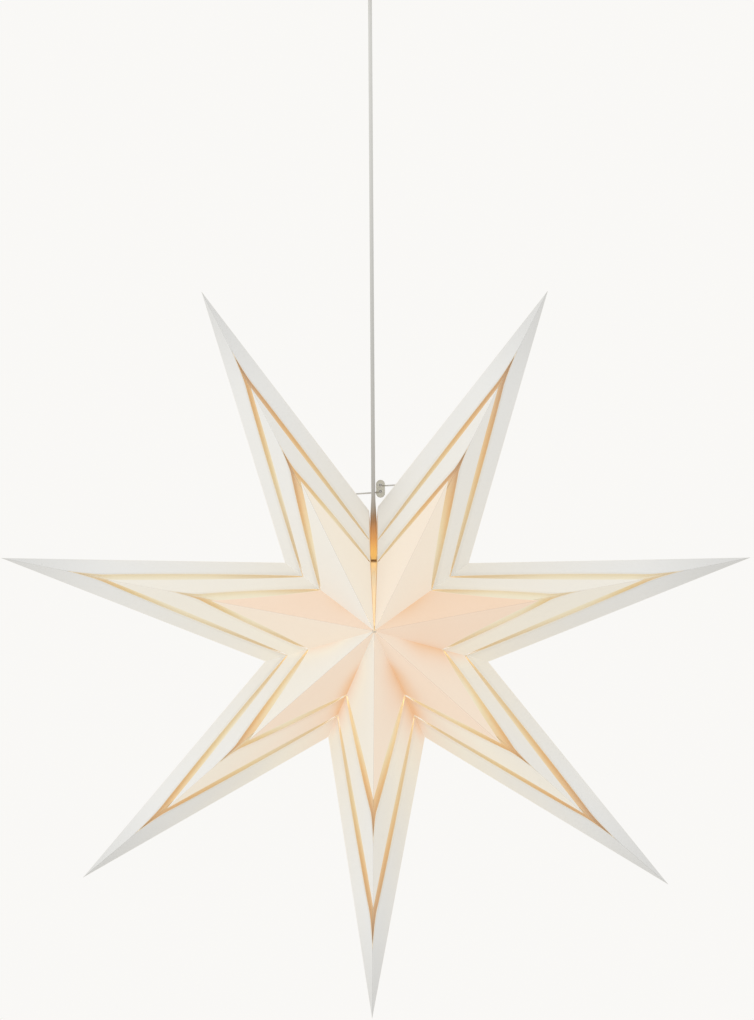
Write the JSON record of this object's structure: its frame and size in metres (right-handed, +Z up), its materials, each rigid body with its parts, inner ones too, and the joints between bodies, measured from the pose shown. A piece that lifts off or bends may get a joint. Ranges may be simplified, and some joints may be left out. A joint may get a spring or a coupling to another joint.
{
  "type": "paper star pendant light",
  "caption": "Folded white paper star lantern with glowing slit windows, lit by a small LED lamp in a holder that hangs on a flat cord from a ceiling cup.",
  "frame": {"origin": "middle of the ceiling plate's top face, halfway between its two screw holes", "axes": "+Z up, +X along the line of the screw holes, and the star faces -Y"},
  "size_m": [0.5888, 0.15, 0.87],
  "materials": {
    "white_paper": "matt",
    "amber_lining": "matt",
    "white_string": "twisted",
    "clear_stopper": "clear",
    "grey_cord": "satin",
    "white_plastic": "satin",
    "white_ceramic": "matt",
    "brass": "bright",
    "copper_wire": "bare",
    "steel": "zinc plated",
    "painted_plate": "satin",
    "black_insulator": "smooth",
    "lamp_collar": "satin",
    "opal_globe": "opal, lit",
    "led_board": "white solder mask",
    "led_chips": "lit",
    "driver_board": "bare board"
  },
  "bodies": {
    "ceiling": {"ceiling_plate": "painted_plate", "ceiling_cup": "white_plastic", "cup_screws": "steel"},
    "hook": {"ceiling_hook": "steel"},
    "pendant": {"hanger_eye": "white_plastic", "cord_clamp_screw": "steel", "hanger_wires": "copper_wire", "terminal_block": "white_plastic", "terminal_block_screws": "steel", "supply_cord": "grey_cord", "cord_nipple": "white_plastic", "holder_cap": "white_plastic", "holder_skirt": "white_plastic", "holder_insert": "white_ceramic", "holder_terminal_screws": "steel", "holder_wires": "copper_wire", "screw_contact": "brass", "centre_contact": "brass", "point_1": "white_paper", "point_2": "white_paper", "point_3": "white_paper", "point_4": "white_paper", "point_5": "white_paper", "point_6": "white_paper", "point_7": "white_paper", "window_lining_1": "amber_lining", "window_lining_2": "amber_lining", "window_lining_3": "amber_lining", "window_lining_4": "amber_lining", "window_lining_5": "amber_lining", "window_lining_6": "amber_lining", "window_lining_7": "amber_lining", "closing_string_left": "white_string", "closing_string_right": "white_string"},
    "stopper": {"string_stopper": "clear_stopper"},
    "lamp_tip": {"lamp_tip_contact": "brass"},
    "lamp": {"lamp_insulator": "black_insulator", "lamp_screw_shell": "steel", "lamp_collar": "lamp_collar", "lamp_globe": "opal_globe", "lamp_driver_board": "driver_board", "led_board": "led_board", "led_chips": "led_chips"}
  },
  "joints": [
    {"name": "pendant_turn", "type": "hinge", "parent": "ceiling", "child": "hook", "pos_m": [0, 0, 0], "axis": [0, 0, 1], "range_deg": [-180, 180]},
    {"name": "pendant_swing", "type": "hinge", "parent": "hook", "child": "pendant", "pos_m": [0, 0, -0.027], "axis": [1, 0, 0], "range_deg": [-7, 7]},
    {"name": "stopper_slide", "type": "slide", "parent": "pendant", "child": "stopper", "axis": [0, -1, 0], "range_m": [0, 0.0035]},
    {"name": "lamp_travel", "type": "slide", "parent": "pendant", "child": "lamp_tip", "axis": [0, 0, -1], "range_m": [0, 0.014]},
    {"name": "lamp_turn", "type": "hinge", "parent": "lamp_tip", "child": "lamp", "pos_m": [0, 0, -0.57], "axis": [0, 0, -1], "range_deg": [0, 1800]}
  ],
  "couplings": [
    {"joint": "lamp_turn", "follows": "lamp_travel", "rad_per_m": 2228.1}
  ]
}
